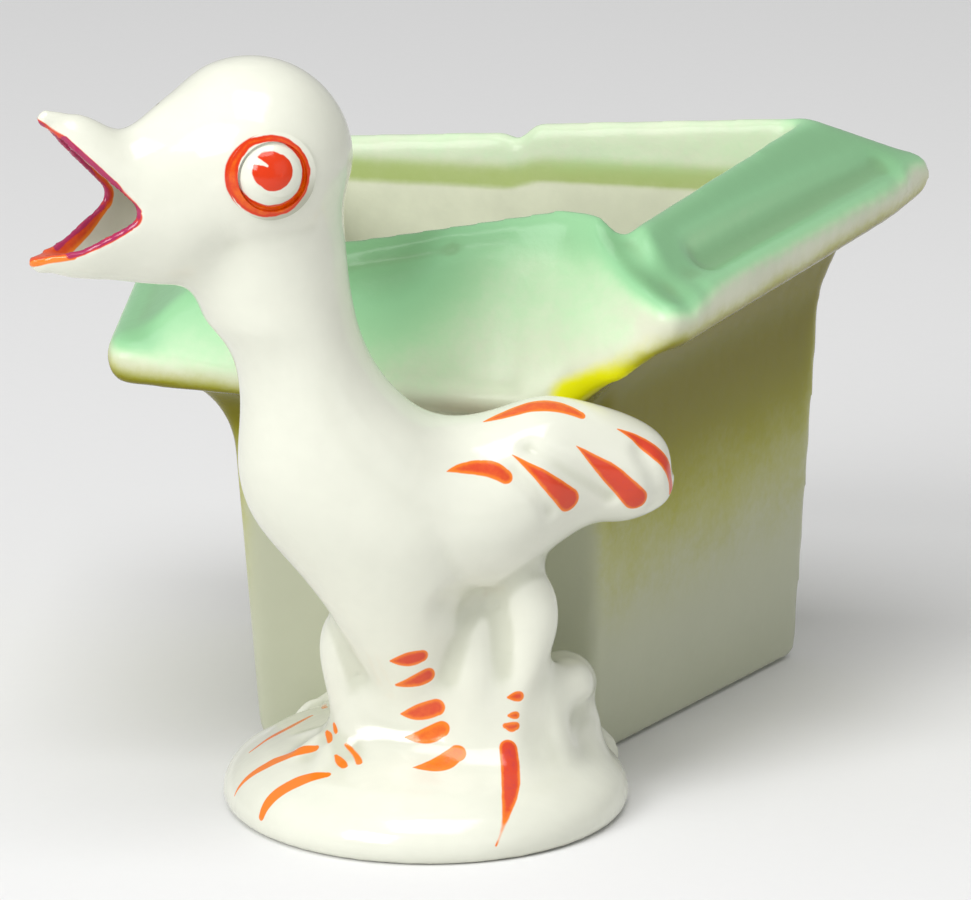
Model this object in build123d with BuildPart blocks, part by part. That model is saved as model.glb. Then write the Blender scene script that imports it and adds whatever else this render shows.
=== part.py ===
"""Glazed earthenware toothpick holder: a gaping chick on a mound, luted to a flared pot.

Millimetres, +Z up.  The origin is the middle of the pot's flat foot; the chick's side is -Y.
"""
from build123d import *
from math import asin, atan2, cos, degrees, radians, sin, sqrt, tan
import os

os.makedirs("parts", exist_ok=True)

# ---------------------------------------------------------------- pot
FRONT_WIDTH = 36.6      # foot of the pot along the chick's side
BACK_WIDTH = 59.8       # foot of the pot along the back
POT_DEPTH = 44.3        # foot, front to back
DRAFT = 3.2             # lean of the walls, degrees
WALL = 3.2              # wall thickness
FLOOR = 4.0             # floor thickness
LIP_REACH = 11.7        # lip's outer edge, ahead of the foot and behind it
LIP_SIDE_REACH = 11.9   # lip's outer edge at the corners, sideways from the foot
LIP_THICKNESS = 4.2     # rolled edge of the lip
COVE_DROP = 12.0        # where the hollow under the lip leaves the wall, below the edge
# inner edge of the rim and outer edge of the lip, above the foot, at each corner
FRONT_LEFT_RIM, FRONT_LEFT_TIP = 53.6, 44.4
FRONT_RIGHT_RIM, FRONT_RIGHT_TIP = 58.2, 51.8
BACK_RIGHT_RIM, BACK_RIGHT_TIP = 60.0, 53.6
BACK_LEFT_RIM, BACK_LEFT_TIP = 55.6, 50.0
SPOUT_FLARE = 5.0       # the rim's front right corner, further out than the wall under it
TONGUE_HEIGHT = 60.4    # top of the raised tongue at its right end
TONGUE_FALL = 5.4       # how much lower its left end is
TONGUE_EDGE_HEIGHT = 41.6   # lower edge of the tongue's apron
TONGUE_REACH = 10.3     # that edge, ahead of the foot
TONGUE_THICKNESS = 2.6  # rolled edge of the apron
TONGUE_LEFT = -9.0      # left end of the apron's full drop, along the front
TONGUE_RIGHT = 19.0     # right end of its crest
TONGUE_LEAN = 4.2       # right end's line leans out on its way up, degrees

# ---------------------------------------------------------------- mound
MOUND_LENGTH = 42.0     # along the chick
MOUND_BREADTH = 47.6    # across it; the pot's wall cuts off the far end
MOUND_TURN = 25.0       # the mound's length, turned like the chick, degrees
MOUND_HEIGHT = 8.4
MOUND_OFF_CENTRE = 4.8  # mound's middle, right of the pot's middle
MOUND_FORWARD = 17.1    # and ahead of the pot's front wall
ROCK_RADIUS = 3.8       # stone on the mound behind the left leg
ROCK_HEIGHT = 11.9
ROCK_BEHIND = 13.2      # stone's centre, behind the chick's upright line
LUTING = 1.5            # bead of slip that joins mound and pot

# ---------------------------------------------------------------- chick
TURN = 29.0             # heading, turned out from the pot's front wall, degrees
CHICK_FORWARD = 21.8    # chick's upright line, ahead of the pot's wall
CHICK_OFF_CENTRE = 8.5  # and right of the pot's middle
SKULL_RADIUS = 10.4
SKULL_HEIGHT = 70.8     # skull's centre
SKULL_AHEAD = 19.8      # skull's centre, ahead of the upright line
HEAD_TURN = 9.0         # the head is turned this much further out than the body, degrees
BILL_LENGTH = 23.2      # bill tips, ahead of the skull's centre
BILL_TILT = 6.0         # the upper tip stands back from the lower one, degrees
BILL_WALL = 1.1         # shell of the open bill
UPPER_BILL_RISE = 6.4   # top of the upper tip, above the skull's centre
LOWER_BILL_DROP = 9.6   # bottom of the lower tip, below it
GAPE_AHEAD = 13.2       # where the lips would meet, ahead of the skull's centre
GAPE_DROP = 3.6         # and below it
GAPE_RADIUS = 1.3       # rounded corner of the mouth
LIP_DEPTH = 0.9         # upper tip, from its top to the gape
THROAT_RADIUS = 5.0     # hollow behind the corner of the mouth
TAIL_LENGTH = 24.0      # tail tip, behind the upright line
TAIL_WIDTH = 11.4
LEG_RADIUS = 2.6
LEFT_LEG_BEHIND = 7.0   # left leg, behind the upright line
RIGHT_LEG_AHEAD = 10.4  # right leg, ahead of it
LEG_SPREAD = 3.6        # legs, to either side of the middle
# slices of neck, breast and the pillar that carries it: height, front, back, half width
TRUNK = [
    (70.0, -27.0, -11.6, 7.6),
    (65.0, -27.2, -10.3, 8.1),
    (60.0, -26.4, -9.8, 7.9),
    (55.0, -25.2, -9.3, 7.5),
    (51.0, -22.4, -8.2, 7.2),
    (47.0, -21.2, -6.0, 7.6),
    (43.0, -21.2, -1.8, 8.3),
    (38.0, -21.4, 3.5, 9.0),
    (33.0, -19.9, 5.5, 9.3),
    (28.0, -16.2, 5.0, 8.6),
    (22.0, -11.9, 2.6, 6.8),
    (16.0, -8.7, 1.4, 4.9),
    (10.0, -6.4, 2.2, 4.3),
    (4.0, -5.0, 3.5, 4.6),
]
# slices of back and tail: distance behind the upright line, top, bottom, half width
BACK = [
    (-10.0, 38.4, 27.6, 6.4),
    (-4.5, 40.6, 25.6, 8.0),
    (0.0, 41.9, 23.6, 8.9),
    (5.0, 42.6, 24.2, 8.7),
    (10.0, 43.7, 27.4, 7.4),
    (14.5, 43.1, 30.0, 6.1),
]

# ---------------------------------------------------------------- eyes
EYE_RADIUS = 3.3        # raised ball of the eye
EYE_RISE = 1.1          # ball, above the skull
EYE_FORWARD = 8.2       # the eyes look this much ahead of straight sideways, degrees
EYE_LIFT = 1.6          # and this much upwards, degrees
EYE_RING_RADIUS = 4.4   # enamel ring, outer edge
EYE_RING_WIDTH = 0.9
PUPIL_RADIUS = 2.1
PUPIL_SHIFT = 0.4       # pupil, up and back from the middle of the eye
ENAMEL = 0.25           # thickness of the fired enamel

RIM_FLARE = 0.5         # the rest of the rim, further out than the wall under it
RIM_DROP = 8.0          # the flare starts this far under the rim
STRIP = 0.4             # step under each wall slice that keeps it apart from the floor

LEAN = tan(radians(DRAFT))
HALF_DEPTH = POT_DEPTH / 2


# ================================================================ pot
def foot_corners():
    """Corners of the pot's foot: front left, front right, back right, back left."""
    return [
        Vector(-FRONT_WIDTH / 2, -HALF_DEPTH),
        Vector(FRONT_WIDTH / 2, -HALF_DEPTH),
        Vector(BACK_WIDTH / 2, HALF_DEPTH),
        Vector(-BACK_WIDTH / 2, HALF_DEPTH),
    ]


def corner_step(index):
    """Outward step of a corner for each millimetre the front and back walls move out."""
    sideways = LIP_SIDE_REACH / LIP_REACH
    return Vector(-sideways if index in (0, 3) else sideways, -1 if index in (0, 1) else 1)


def inset_foot(inset):
    """Foot outline drawn in by a distance, as points in plan."""
    return [tuple(c - corner_step(i) * inset)[:2] for i, c in enumerate(foot_corners())]


def wall_section(point, step, rim, reach, edge, thick, flare, lean=0.0):
    """Slice of wall, cove and lip standing on one point of the foot's outline."""
    outward = step.normalized()
    upward = Vector(tan(radians(lean)), 0, 1).normalized()
    plane = Plane(origin=(point.X, point.Y, 0), x_dir=outward, z_dir=outward.cross(upward))
    cove = edge - COVE_DROP
    under = (reach - thick * 0.5, edge - thick * 0.8)
    nose = (reach + thick * 0.12, edge - thick * 0.28)
    top = (reach - thick * 0.45, edge + thick * 0.22)
    hollow = (cove * LEAN + (under[0] - cove * LEAN) * 0.28, cove + (under[1] - cove) * 0.66)
    knee = rim - RIM_DROP

    def at(out, height):
        return (out * step.length, height / cos(radians(lean)))

    with BuildSketch(plane) as section:
        with BuildLine():
            Line(at(0, 0), at(cove * LEAN, cove))
            ThreePointArc(at(cove * LEAN, cove), at(*hollow), at(*under))
            ThreePointArc(at(*under), at(*nose), at(*top))
            Line(at(*top), at(rim * LEAN - WALL + flare, rim))
            Line(at(rim * LEAN - WALL + flare, rim), at(knee * LEAN - WALL, knee))
            Line(at(knee * LEAN - WALL, knee), at(FLOOR * LEAN - WALL, FLOOR))
            Line(at(FLOOR * LEAN - WALL, FLOOR), at(-WALL - STRIP, 0))
            Line(at(-WALL - STRIP, 0), at(0, 0))
        make_face()
    return section.sketch


def corner_section(index):
    """Wall slice on the diagonal of one corner."""
    rims = [FRONT_LEFT_RIM, FRONT_RIGHT_RIM, BACK_RIGHT_RIM, BACK_LEFT_RIM]
    tips = [FRONT_LEFT_TIP, FRONT_RIGHT_TIP, BACK_RIGHT_TIP, BACK_LEFT_TIP]
    flare = SPOUT_FLARE if index == 1 else RIM_FLARE
    return wall_section(
        foot_corners()[index],
        corner_step(index),
        rims[index],
        LIP_REACH,
        tips[index],
        LIP_THICKNESS,
        flare,
    )


def tongue_section(crest, rim, lean):
    """Wall slice square to the front, through the tongue and its apron."""
    point = Vector(crest - rim * tan(radians(lean)), -HALF_DEPTH)
    return wall_section(
        point,
        Vector(0, -1),
        rim,
        TONGUE_REACH,
        TONGUE_EDGE_HEIGHT,
        TONGUE_THICKNESS,
        RIM_FLARE,
        lean,
    )


tongue_ends = [
    tongue_section(TONGUE_RIGHT, TONGUE_HEIGHT, TONGUE_LEAN),
    tongue_section(TONGUE_LEFT, TONGUE_HEIGHT - TONGUE_FALL, 0),
]
# from the tongue's right end round the pot to its left end, then the tongue itself
with BuildPart() as surround:
    corners = [corner_section(index) for index in (1, 2, 3, 0)]
    loft(sections=tongue_ends[:1] + corners + tongue_ends[1:], ruled=True)
with BuildPart() as tongue:
    loft(sections=tongue_ends, ruled=True)


def floor_outline(inset, height):
    """Inner outline of the walls with the ends of the tongue marked on its front."""
    front_left, front_right, back_right, back_left = inset_foot(inset)
    right_mark = TONGUE_RIGHT - (TONGUE_HEIGHT - height) * tan(radians(TONGUE_LEAN))
    marks = [(TONGUE_LEFT, front_left[1]), (right_mark, front_left[1])]
    return [front_left, *marks, front_right, back_right, back_left]


with BuildSketch() as underside:
    Polygon(*floor_outline(WALL + STRIP, 0), align=None)
with BuildSketch(Plane.XY.offset(FLOOR)) as floor_top:
    Polygon(*floor_outline(WALL - FLOOR * LEAN, FLOOR), align=None)

# the skin leaves out the joint faces at the tongue and the strips that the floor replaces
joints = [end.face().center() for end in tongue_ends]
skin = [
    face
    for face in surround.part.faces() + tongue.part.faces()
    if min((face.center() - joint).length for joint in joints) > 0.01
    and not 0.01 < face.center().Z < FLOOR - 0.01
]
with BuildPart() as pot:
    add(Solid(Shell(skin + underside.sketch.faces() + floor_top.sketch.faces())))
pot.part.label = "pot"

# ================================================================ chick's own frame
# x runs towards the tail, y up, z towards the side that faces away from the pot
UPWARD = Vector(0, 0, 1)
STAND = Vector(CHICK_OFF_CENTRE, -HALF_DEPTH - CHICK_FORWARD, 0)


def sagittal(origin, heading):
    """Upright plane along a part of the chick that is turned out this far, in degrees."""
    angle = radians(heading)
    tailward = Vector(cos(angle), sin(angle), 0)
    return Plane(origin=origin, x_dir=tailward, z_dir=tailward.cross(UPWARD))


BODY = sagittal(STAND, TURN)


def body_point(along, height, side=0.0):
    """Place given in the chick's own frame."""
    return BODY.from_local_coords(Vector(along, height, side))


SKULL = body_point(-SKULL_AHEAD, SKULL_HEIGHT)
HEAD = sagittal(SKULL, TURN + HEAD_TURN)


def slice_across(frame, place, heading, half_tall, half_wide):
    """Oval slice of the chick, square to a heading given in degrees above tailward."""
    lift = radians(heading)
    normal = frame.x_dir * cos(lift) + UPWARD * sin(lift)
    plane = Plane(origin=frame.from_local_coords(place), x_dir=frame.z_dir, z_dir=normal)
    with BuildSketch(plane) as slice_:
        Ellipse(half_wide, half_tall)
    return slice_.sketch


def oval(along, height, heading, half_tall, half_wide, side=0.0):
    """Slice of body or leg, placed in the body's frame."""
    return slice_across(BODY, Vector(along, height, side), heading, half_tall, half_wide)


# ================================================================ mound
MOUND_CENTRE = (MOUND_OFF_CENTRE, -HALF_DEPTH - MOUND_FORWARD)
# height and spread of the dome's level outlines, as shares of the whole mound
MOUND_LEVELS = [(0, 0.97), (0.16, 1.0), (0.45, 0.95), (0.72, 0.81), (0.92, 0.56), (1.0, 0.3)]


def dome_outlines(swell):
    """Level outlines of the mound, each pushed out by the same distance."""
    outlines = []
    for level, spread in MOUND_LEVELS:
        with BuildSketch(Plane.XY.offset((MOUND_HEIGHT + swell) * level)) as outline:
            with Locations(Location(MOUND_CENTRE, MOUND_TURN)):
                Ellipse(MOUND_LENGTH / 2 * spread + swell, MOUND_BREADTH / 2 * spread + swell)
        outlines.append(outline.sketch)
    return outlines


# everything behind the outer face of the pot's front wall
WALL_TOP = MOUND_HEIGHT * 3
with BuildPart() as behind_wall:
    with BuildSketch(Plane.YZ):
        Polygon(
            (-HALF_DEPTH, 0),
            (-HALF_DEPTH - WALL_TOP * LEAN, WALL_TOP),
            (HALF_DEPTH, WALL_TOP),
            (HALF_DEPTH, 0),
            align=None,
        )
    extrude(amount=MOUND_BREADTH, both=True)

ROCK_FOOT = ROCK_RADIUS * 1.6
ROCK_NECK = ROCK_RADIUS * 0.96
with BuildPart() as bare_mound:
    loft(sections=dome_outlines(0))
    with Locations(body_point(ROCK_BEHIND, ROCK_HEIGHT, -LEG_SPREAD)):
        Sphere(ROCK_RADIUS)
    loft(
        sections=[
            oval(ROCK_BEHIND - 1.4, MOUND_HEIGHT / 3, 90, ROCK_FOOT, ROCK_FOOT, -LEG_SPREAD),
            oval(ROCK_BEHIND, ROCK_HEIGHT - 1.0, 90, ROCK_NECK, ROCK_NECK, -LEG_SPREAD),
        ]
    )
    add(behind_wall.part, mode=Mode.SUBTRACT)

with BuildPart() as luting:
    loft(sections=dome_outlines(LUTING))
    with Locations((MOUND_OFF_CENTRE, -HALF_DEPTH)):
        Box(MOUND_BREADTH * 2, 2 * (LUTING + 0.8), MOUND_HEIGHT * 4, mode=Mode.INTERSECT)
    add(behind_wall.part, mode=Mode.SUBTRACT)
    add(bare_mound.part, mode=Mode.SUBTRACT)
luting.part.label = "luting"

# ================================================================ chick
BILL_MIDDLE = (UPPER_BILL_RISE - LOWER_BILL_DROP) / 2
BILL_HALF = (UPPER_BILL_RISE + LOWER_BILL_DROP) / 2
# slices of the bill: ahead of the skull's centre, above it, half height, half width, heading
BILL = [
    (-1.0, -1.0, 7.0, 7.0, 180),
    (BILL_LENGTH * 0.22, -2.0, 8.9, 7.4, 180),
    (BILL_LENGTH * 0.39, -2.9, 9.7, 7.0, 180),
    (BILL_LENGTH * 0.56, -3.6, 7.9, 5.5, 180),
    (BILL_LENGTH * 0.76, BILL_MIDDLE - 0.9, BILL_HALF + 0.2, 4.3, 180 - BILL_TILT),
    (BILL_LENGTH * 0.91, BILL_MIDDLE, BILL_HALF, 2.9, 180 - BILL_TILT),
    (BILL_LENGTH, BILL_MIDDLE + 0.3, BILL_HALF - 0.3, 1.6, 180 - BILL_TILT),
]


def bill_sections(inset):
    """Ovals of the bill from the skull out to the two tips."""
    return [
        slice_across(HEAD, Vector(-ahead, rise), heading, tall - inset, wide - inset)
        for ahead, rise, tall, wide, heading in BILL
    ]


def gape_outline():
    """Wedge between the lips, from past the upper tip round the corner to past the lower tip."""
    corner = Vector(-GAPE_AHEAD, -GAPE_DROP)
    upper_tip = Vector(-BILL_LENGTH + 1.0, UPPER_BILL_RISE - LIP_DEPTH)
    lower_bend = Vector(-(GAPE_AHEAD * 0.4 + BILL_LENGTH * 0.6), -LOWER_BILL_DROP + 2.6)
    lower_tip = Vector(-BILL_LENGTH, -LOWER_BILL_DROP + 1.7)
    past_upper = corner + (upper_tip - corner) * 1.6
    past_lower = lower_bend + (lower_tip - lower_bend) * 2.5
    return past_upper, corner, lower_bend, past_lower


with BuildPart() as chick:
    with Locations(SKULL):
        Sphere(SKULL_RADIUS)
    # neck, breast and the pillar under it
    loft(sections=[oval((f + b) / 2, z, -90, (b - f) / 2, w) for z, f, b, w in TRUNK])
    # back and tail
    loft(
        sections=[oval(x, (t + b) / 2, 0, (t - b) / 2, w) for x, t, b, w in BACK]
        + [
            oval(TAIL_LENGTH - 5.2, 35.5, -18, 5.5, TAIL_WIDTH / 2),
            oval(TAIL_LENGTH - 1.9, 34.0, -25, 3.6, 4.2),
            oval(TAIL_LENGTH - 0.5, 33.3, -25, 1.7, 2.2),
        ]
    )
    # web that fills the space between the pillar and the left leg
    loft(
        sections=[
            oval(3.4, 26.0, -90, 5.4, 2.6),
            oval(2.6, 15.0, -90, 4.4, 2.2),
            oval(2.4, 5.0, -90, 4.6, 3.4),
        ]
    )
    # bill with its gape: an outer horn, a hollow inside it and a wedge between the tips
    loft(sections=bill_sections(0))
    loft(sections=bill_sections(BILL_WALL)[2:], mode=Mode.SUBTRACT)
    throat = Vector(-GAPE_AHEAD + THROAT_RADIUS, -GAPE_DROP + 1.0)
    with Locations(HEAD.from_local_coords(throat)):
        Sphere(THROAT_RADIUS, mode=Mode.SUBTRACT)
    with BuildSketch(HEAD) as gape:
        with BuildLine():
            past_upper, corner, lower_bend, past_lower = gape_outline()
            Polyline(past_upper, corner, lower_bend, past_lower, past_upper)
        make_face()
        fillet(gape.vertices().sort_by_distance(corner)[0], GAPE_RADIUS)
    extrude(gape.sketch, amount=SKULL_RADIUS, both=True, mode=Mode.SUBTRACT)
    add(bare_mound.part, mode=Mode.SUBTRACT)
chick.part.label = "chick"

# ================================================================ legs
def leg(sections):
    """Leg of clay, cut to fit the body that it is joined to."""
    with BuildPart() as limb:
        loft(sections=sections)
        add(chick.part, mode=Mode.SUBTRACT)
    return limb.part


left_leg = leg(
    [
        oval(LEFT_LEG_BEHIND - 1.0, 27.0, -90, LEG_RADIUS + 0.4, LEG_RADIUS + 0.2, LEG_SPREAD - 1.2),
        oval(LEFT_LEG_BEHIND + 0.9, 20.0, -90, LEG_RADIUS + 0.4, LEG_RADIUS, LEG_SPREAD - 0.4),
        oval(LEFT_LEG_BEHIND - 1.6, 11.5, -90, LEG_RADIUS - 0.4, LEG_RADIUS - 0.2, LEG_SPREAD + 0.6),
        oval(LEFT_LEG_BEHIND - 2.6, 4.0, -90, LEG_RADIUS + 1.2, LEG_RADIUS + 1.8, LEG_SPREAD + 3.2),
    ]
)
left_leg.label = "left_leg"

right_leg = leg(
    [
        oval(-RIGHT_LEG_AHEAD + 3.4, 23.0, -90, LEG_RADIUS, LEG_RADIUS, -LEG_SPREAD),
        oval(-RIGHT_LEG_AHEAD + 1.0, 16.0, -90, LEG_RADIUS + 0.4, LEG_RADIUS + 0.2, -LEG_SPREAD),
        oval(-RIGHT_LEG_AHEAD + 1.9, 11.0, -90, LEG_RADIUS + 0.5, LEG_RADIUS + 0.4, -LEG_SPREAD + 0.6),
        oval(-RIGHT_LEG_AHEAD, 4.0, -90, LEG_RADIUS + 3.6, LEG_RADIUS + 2.2, -LEG_SPREAD + 1.2),
    ]
)
right_leg.label = "right_leg"

# the feet are set into the mound
with BuildPart() as mound:
    add(bare_mound.part)
    add([left_leg, right_leg], mode=Mode.SUBTRACT)
mound.part.label = "mound"

# ================================================================ eyes
# the ball of the eye is a cap of a sphere that meets the skull on a circle
EYE_FOOT = sqrt(SKULL_RADIUS**2 - EYE_RADIUS**2)
EYE_CAP = SKULL_RADIUS + EYE_RISE - EYE_FOOT
BALL_RADIUS = (EYE_RADIUS**2 + EYE_CAP**2) / (2 * EYE_CAP)
BALL_OUT = SKULL_RADIUS + EYE_RISE - BALL_RADIUS


def across_plane(centre, direction):
    """Plane that holds an axis through a centre, with the axis as its x."""
    return Plane(origin=centre, x_dir=direction, z_dir=direction.cross(UPWARD))


def enamel_cap(label, centre, direction, radius, inner, outer):
    """Enamel on a sphere, between two circles about an axis."""
    start, end = degrees(asin(inner / radius)), degrees(asin(outer / radius))
    with BuildPart() as cap:
        with BuildSketch(across_plane(centre, direction)):
            with BuildLine():
                below = CenterArc((0, 0), radius, start, end - start)
                above = CenterArc((0, 0), radius + ENAMEL, start, end - start)
                Line(below @ 0, above @ 0)
                Line(below @ 1, above @ 1)
            make_face()
        revolve(axis=Axis(centre, direction))
    cap.part.label = label
    return cap.part


def eye_pieces(name, sign):
    """Ball, enamel ring and enamel pupil of one eye, each a separate solid."""
    forward, lift = radians(EYE_FORWARD), radians(EYE_LIFT)
    sideways = HEAD.z_dir * sign * cos(forward) - HEAD.x_dir * sin(forward)
    outward = sideways * cos(lift) + UPWARD * sin(lift)
    with BuildPart() as ball:
        with BuildSketch(across_plane(SKULL, outward)):
            with BuildLine():
                seat = CenterArc((0, 0), SKULL_RADIUS, 0, degrees(asin(EYE_RADIUS / SKULL_RADIUS)))
                dome = CenterArc((BALL_OUT, 0), BALL_RADIUS, 0, degrees(atan2(EYE_RADIUS, EYE_FOOT - BALL_OUT)))
                Line(seat @ 0, dome @ 0)
            make_face()
        revolve(axis=Axis(SKULL, outward))
    ball.part.label = f"{name}_eye"
    centre = SKULL + outward * BALL_OUT
    gaze = outward * BALL_RADIUS + (HEAD.x_dir + UPWARD) * PUPIL_SHIFT
    ring_inner = EYE_RING_RADIUS - EYE_RING_WIDTH
    return [
        ball.part,
        enamel_cap(f"{name}_eye_ring", SKULL, outward, SKULL_RADIUS, ring_inner, EYE_RING_RADIUS),
        enamel_cap(f"{name}_pupil", centre, gaze.normalized(), BALL_RADIUS, 0, PUPIL_RADIUS),
    ]


for piece in (
    [pot.part, mound.part, luting.part, chick.part, left_leg, right_leg]
    + eye_pieces("left", 1)
    + eye_pieces("right", -1)
):
    export_step(piece, f"parts/{piece.label}.step")
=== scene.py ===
"""Look of the toothpick holder: glazed pot, gaping chick on its mound, enamelled eyes, studio.

Blender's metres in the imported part's own frame: +Z up, the chick's side is -Y.  Sizes below
are in millimetres and are turned into metres where they are used.
"""
from math import cos, radians, sin

import bpy
import numpy as np
from mathutils import Matrix, Vector


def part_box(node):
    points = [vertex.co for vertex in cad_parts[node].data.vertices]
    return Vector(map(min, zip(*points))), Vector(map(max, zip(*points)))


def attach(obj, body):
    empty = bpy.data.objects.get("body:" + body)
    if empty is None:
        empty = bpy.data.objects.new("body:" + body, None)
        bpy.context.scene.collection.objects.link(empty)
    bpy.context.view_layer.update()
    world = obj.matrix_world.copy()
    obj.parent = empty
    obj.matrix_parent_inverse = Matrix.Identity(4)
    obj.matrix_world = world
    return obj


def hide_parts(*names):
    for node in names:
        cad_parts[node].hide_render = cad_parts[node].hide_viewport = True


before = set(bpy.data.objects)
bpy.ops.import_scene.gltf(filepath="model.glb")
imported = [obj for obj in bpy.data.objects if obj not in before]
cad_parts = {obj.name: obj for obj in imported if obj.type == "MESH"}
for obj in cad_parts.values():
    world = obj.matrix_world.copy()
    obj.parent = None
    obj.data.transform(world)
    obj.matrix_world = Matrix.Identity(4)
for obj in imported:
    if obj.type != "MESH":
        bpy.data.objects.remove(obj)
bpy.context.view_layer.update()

bl_info = {
    "name": "Glazed toothpick holder",
    "version": (1, 0, 0),
    "blender": (4, 5, 0),
    "location": "View3D > Sidebar > Holder",
    "description": "Builds the glazed look of a chick-and-pot toothpick holder",
    "category": "Object",
}

MM = 0.001

# ---------------------------------------------------------------- the chick's own frame
# Places on the chick are (along, side, height): along runs to the tail, side runs out
# from the pot.  Places on the head are (ahead, side, rise) from the skull's centre.
TURN = radians(29.0)            # heading, turned out from the pot's front wall
HEAD_TURN = radians(38.0)       # heading of the head
STAND = np.array([8.5, -43.95, 0.0])        # foot of the chick's upright line
TAILWARD = np.array([cos(TURN), sin(TURN), 0.0])
OUTWARD = np.array([sin(TURN), -cos(TURN), 0.0])
UPWARD = np.array([0.0, 0.0, 1.0])
SKULL = STAND - 19.8 * TAILWARD + 70.8 * UPWARD
HEADWARD = -np.array([cos(HEAD_TURN), sin(HEAD_TURN), 0.0])
HEADSIDE = np.array([sin(HEAD_TURN), -cos(HEAD_TURN), 0.0])
BILL_START = 11.0               # ahead of here the bill is too thin to fill in
GAPE_CORNER = 13.2, -3.6        # ahead and rise of the corner of the mouth

# ---------------------------------------------------------------- clay
WELD = 0.001                    # corners of a solid's facets nearer than this are one
COARSE_GRAIN = 0.59             # spacing of the pot's finished skin
FINE_GRAIN = 0.3                # spacing while the pot's sharp edges are eased
FIGURE_GRAIN = 0.385            # spacing of the figure's skin
RIM_ROLL = 0.6                  # how much fuller the pot's rims are before they are eased
FILLET = 1.3                    # clay run into the hollows of the figure
FULL_POOL = 0.02                # hollow, at this grain, that holds the most glaze and gets the deepest painted shade
# rounds of smoothing
EDGE_ROUNDS = 60                # round the pot's edges off
APRON_ROUNDS = 220              # carry the apron over its creases
FOLD_ROUNDS = 12                # settle the fold at the apron's corner
CREASE_ROUNDS = 160             # run neck, back and skull together
POOL_ROUNDS = 6                 # even out the hollows measured for the glaze

# rolls of clay worked into the figure: stops of along, side, height, radius
CLAY_ROLLS = [
    [(2.2, 0.8, 21.5, 3.7), (2.2, 1.5, 14.0, 4.4), (2.0, 2.2, 8.0, 5.0)],          # web
    [(-7.4, -3.0, 19.0, 1.8), (-8.0, -2.4, 12.0, 3.2), (-8.0, -1.8, 7.0, 4.2)],    # far web
    [(9.2, 2.0, 13.6, 2.3), (9.6, 2.3, 8.0, 3.3)],                                 # stone's root
    [(-11.8, -5.0, 7.4, 1.6), (-14.0, -9.0, 5.6, 1.5), (-17.5, -10.2, 4.2, 1.4)],  # outer toe
    [(-12.2, -3.2, 7.2, 1.7), (-16.0, -2.6, 5.0, 1.6), (-19.0, -3.2, 3.5, 1.4)],   # middle toe
    [(-12.0, -0.6, 6.8, 1.7), (-14.2, 3.4, 4.8, 1.6), (-17.6, 3.2, 3.4, 1.5)],     # inner toe
    [(5.0, 5.6, 7.6, 2.2), (4.2, 9.2, 5.3, 2.0), (3.4, 12.4, 3.9, 1.8),
     (2.2, 14.6, 2.8, 1.6)],                                                       # near toe
    [(11.2, -0.6, 11.6, 3.6), (12.9, -0.4, 12.8, 3.0)],                            # stone's nose
    [(12.0, -1.0, 5.6, 3.6), (14.0, -1.0, 4.5, 3.0)],                              # stone's foot
]
# the same for the bill, on the head
BILL_ROLLS = [
    [(18.6, 0.0, 5.05, 0.9), (20.2, 0.0, 5.75, 0.95), (21.9, 0.0, 6.15, 0.95)],
    [(18.5, 0.0, -9.2, 1.0), (22.7, 0.0, -8.8, 0.95)],
]

# thumb and tool marks on the figure: path, half width, depth (below 0 it is raised)
FIGURE_MARKS = [
    ([(7.5, 6.1, 40.3), (11.6, 6.7, 37.5), (16.0, 5.5, 34.2)], 1.7, 0.55),
    ([(5.6, 7.4, 38.3), (7.9, 8.0, 36.0), (9.2, 7.5, 33.7)], 1.6, 0.4),
    ([(19.5, 4.6, 38.7), (20.9, 5.2, 35.6), (21.2, 3.9, 32.6)], 1.6, 0.4),
    ([(-1.0, 6.6, 24.4), (1.6, 5.2, 23.4)], 3.4, 0.7),
    ([(15.8, -4.5, 10.2), (15.3, -1.5, 10.3), (13.6, 2.4, 10.0)], 2.6, 0.5),
]

# the same on the pot, in the part's own frame
FOLD_MARKS = [
    # fold that runs down from the corner of the apron, and the valley beside it
    ([(19.3, -25.0, 58.3), (21.6, -27.5, 56.0), (24.3, -30.0, 54.3), (27.2, -32.0, 52.9),
      (29.6, -34.0, 52.3)], 2.6, -0.55),
    ([(23.4, -25.6, 58.3), (25.3, -27.8, 56.9), (27.0, -29.0, 55.3), (28.9, -29.9, 53.8),
      (30.75, -30.6, 53.0)], 2.4, 0.8),
]
LIP_MARKS = [
    # dished top of a side lip, with its outer edge rolled up
    ([(29.6, -19.0, 54.6), (32.6, -4.0, 55.0), (35.6, 11.0, 54.9), (38.6, 24.0, 54.6)], 3.6, 0.9),
    ([(31.6, -24.6, 52.9), (34.2, -11.0, 53.1), (37.8, 6.1, 52.9), (41.3, 26.0, 53.0)], 1.8, -0.35),
]
CREST_MARKS = [
    # groove under the tongue's rolled crest
    ([(-9.0, -24.3, 52.0), (-1.8, -24.1, 53.6), (4.0, -23.9, 55.0)], 1.6, 0.45),
    ([(4.0, -23.9, 55.0), (10.0, -23.8, 56.2)], 1.6, 0.25),
]
# lines that the apron is carried smoothly over, and how far to each side
EVENED = [
    ([(18.7, -28.0, 52.6), (18.6, -28.8, 50.6), (18.1, -30.7, 46.3)], 3.0),
    ([(22.7, -27.4, 58.3), (23.8, -28.5, 57.2)], 1.6),
]

# ---------------------------------------------------------------- glaze and brushwork
# darker green beside the fold at the apron's corner, painted shade on the face turned from the
# light
SHADED_VALLEY = [(21.5, -25.6, 57.8), (24.0, -28.3, 56.0), (26.3, -30.2, 54.2), (28.8, -31.6, 52.9)]
# where the yellow is brightest, along the fold under the apron's corner: sprayed yellow, brightened
# as painted light
LEMON_LINE = [(18.4, -31.8, 42.0), (21.6, -32.0, 43.6), (24.9, -33.3, 46.1), (27.6, -33.7, 48.2)]

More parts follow.
